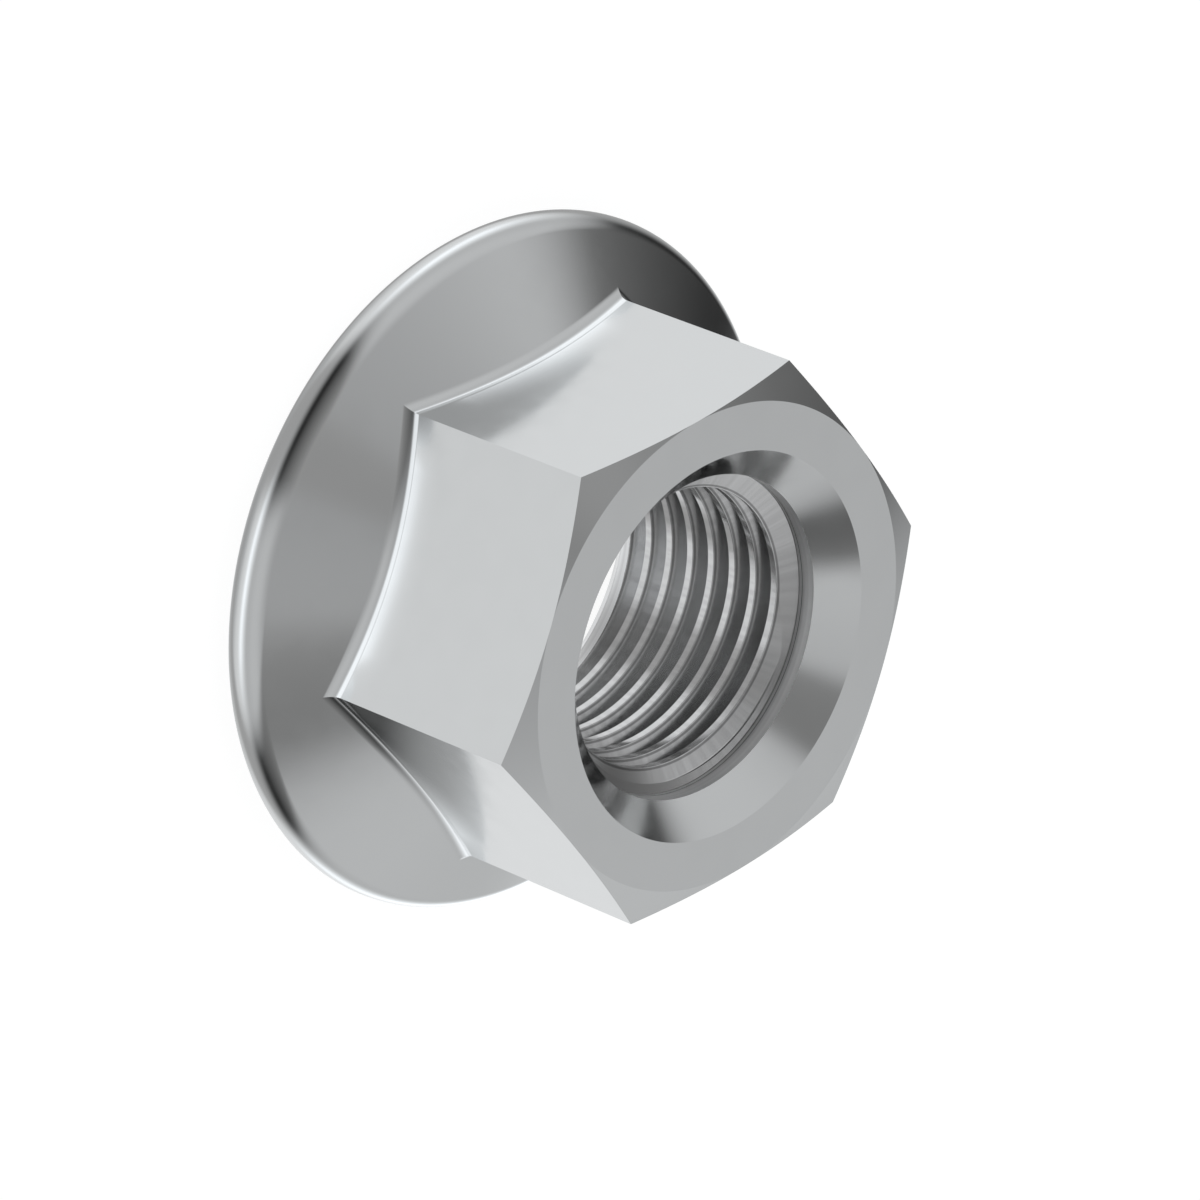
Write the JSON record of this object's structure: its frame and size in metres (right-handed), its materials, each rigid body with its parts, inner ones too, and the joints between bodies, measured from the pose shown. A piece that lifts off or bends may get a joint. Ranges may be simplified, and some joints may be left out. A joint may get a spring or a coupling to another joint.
{
  "type": "hex flange nut",
  "caption": "Hexagon nut forged in one piece with a wide conical flange, rounded at its rim, countersunk and tapped right through.",
  "frame": {"origin": "centre of the bearing face, on the axis of the thread", "axes": "+Z along the axis of the thread, from the bearing face to the top of the hexagon; two corners of the hexagon lie on the X axis"},
  "size_m": [0.026, 0.026, 0.012],
  "materials": {
    "bright_steel": "bright satin steel, smooth forged cone and flats, fine turned faces"
  },
  "bodies": {
    "root": {"flange_nut": "bright_steel"}
  },
  "joints": []
}
